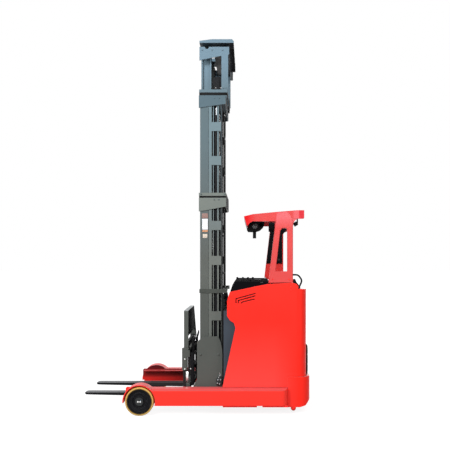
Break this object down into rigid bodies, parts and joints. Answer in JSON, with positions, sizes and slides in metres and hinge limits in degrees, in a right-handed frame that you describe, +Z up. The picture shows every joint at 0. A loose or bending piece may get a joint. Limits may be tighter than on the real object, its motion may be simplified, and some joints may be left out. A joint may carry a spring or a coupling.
{
  "type": "electric reach truck",
  "caption": "Electric reach truck: straddle legs, three-stage mast on a reach carriage, tilting and side-shifting forks, stand-on cell under an overhead guard.",
  "frame": {"origin": "middle of the truck's box on the floor it stands on", "axes": "-X the way the forks point, Y across the truck, +Z up"},
  "size_m": [2.424, 1.27, 3.951],
  "materials": {
    "red_paint": "gloss",
    "mast_paint": "satin",
    "black_paint": "satin",
    "battery_paint": "satin",
    "zinc_steel": "satin",
    "chrome_rod": "polished",
    "black_plastic": "matte",
    "black_rubber": "matte",
    "wheel_tread": "satin",
    "drive_tread": "matte"
  },
  "bodies": {
    "chassis": {"chassis_frame": "red_paint", "leg_left": "red_paint", "leg_right": "red_paint", "load_axle_left": "zinc_steel", "load_axle_right": "zinc_steel", "battery": "battery_paint", "side_panel_left": "red_paint", "side_panel_right": "red_paint", "rear_bumper": "red_paint", "rear_pad": "black_rubber", "operator_platform": "black_rubber", "drive_cover": "black_plastic", "cell_front_panel": "black_plastic", "back_pad": "black_rubber", "console": "black_plastic", "hood_front": "black_plastic", "control_levers": "black_plastic", "guard_frame_left": "red_paint", "guard_frame_right": "red_paint", "guard_roof": "red_paint", "roof_lamps": "black_plastic", "grab_handle": "black_paint"},
    "load_wheel_left": {"load_hub_left": "black_paint", "load_tyre_left": "wheel_tread"},
    "load_wheel_right": {"load_hub_right": "black_paint", "load_tyre_right": "wheel_tread"},
    "drive_unit": {"drive_housing": "black_paint"},
    "traction_wheel": {"drive_wheel": "drive_tread"},
    "caster": {"caster_fork": "black_paint"},
    "caster_pair": {"caster_wheels": "drive_tread"},
    "steering": {"steering_wheel": "black_plastic"},
    "reach": {"reach_plate_left": "mast_paint", "reach_plate_right": "mast_paint", "reach_cross_members": "mast_paint", "reach_rollers": "zinc_steel", "outer_rail_left": "mast_paint", "outer_rail_right": "mast_paint", "outer_cross_members": "mast_paint", "lift_barrels": "black_paint"},
    "mast_middle": {"middle_rail_left": "mast_paint", "middle_rail_right": "mast_paint", "middle_cross_members": "mast_paint", "lift_rods": "chrome_rod"},
    "mast_inner": {"inner_rail_left": "mast_paint", "inner_rail_right": "mast_paint", "inner_cross_members": "mast_paint", "inner_head": "mast_paint", "free_lift_barrel": "black_paint"},
    "free_lift": {"free_lift_rod": "chrome_rod"},
    "lift": {"lift_carriage": "mast_paint"},
    "tilt": {"tilt_frame": "black_paint"},
    "side_shift": {"fork_carriage": "mast_paint", "load_backrest": "mast_paint", "fork_left": "black_paint", "fork_right": "black_paint"}
  },
  "joints": [
    {"name": "load_wheel_left_spin", "type": "hinge", "parent": "chassis", "child": "load_wheel_left", "pos_m": [-0.544, -0.572, 0.147], "axis": [0, 1, 0], "continuous": true},
    {"name": "load_wheel_right_spin", "type": "hinge", "parent": "chassis", "child": "load_wheel_right", "pos_m": [-0.544, 0.572, 0.147], "axis": [0, 1, 0], "continuous": true},
    {"name": "drive_steer", "type": "hinge", "parent": "chassis", "child": "drive_unit", "pos_m": [0.95, -0.192, 0.172], "axis": [0, 0, 1], "range_deg": [-90, 90]},
    {"name": "traction_spin", "type": "hinge", "parent": "drive_unit", "child": "traction_wheel", "pos_m": [0.95, -0.192, 0.172], "axis": [0, 1, 0], "continuous": true},
    {"name": "caster_swivel", "type": "hinge", "parent": "chassis", "child": "caster", "pos_m": [0.95, 0.35, 0.2], "axis": [0, 0, 1], "continuous": true},
    {"name": "caster_spin", "type": "hinge", "parent": "caster", "child": "caster_pair", "pos_m": [0.995, 0.35, 0.075], "axis": [0, 1, 0], "continuous": true},
    {"name": "steering_turn", "type": "hinge", "parent": "chassis", "child": "steering", "pos_m": [0.96, -0.25, 1.16], "axis": [0, 0, 1], "continuous": true},
    {"name": "reach_slide", "type": "slide", "parent": "chassis", "child": "reach", "axis": [1, 0, 0], "range_m": [-0.58, 0]},
    {"name": "middle_slide", "type": "slide", "parent": "reach", "child": "mast_middle", "axis": [0, 0, 1], "range_m": [0, 2.7]},
    {"name": "inner_slide", "type": "slide", "parent": "mast_middle", "child": "mast_inner", "axis": [0, 0, 1], "range_m": [0, 2.7]},
    {"name": "carriage_lift", "type": "slide", "parent": "mast_inner", "child": "lift", "axis": [0, 0, 1], "range_m": [-0.07, 3]},
    {"name": "free_lift_slide", "type": "slide", "parent": "mast_inner", "child": "free_lift", "axis": [0, 0, 1], "range_m": [-0.035, 1.5]},
    {"name": "fork_tilt", "type": "hinge", "parent": "lift", "child": "tilt", "pos_m": [-0.028, 0, 0.64], "axis": [0, 1, 0], "range_deg": [-2, 4]},
    {"name": "fork_shift", "type": "slide", "parent": "tilt", "child": "side_shift", "axis": [0, 1, 0], "range_m": [-0.075, 0.075]}
  ],
  "couplings": [
    {"joint": "inner_slide", "follows": "middle_slide", "ratio": 1},
    {"joint": "free_lift_slide", "follows": "carriage_lift", "ratio": 0.5}
  ]
}
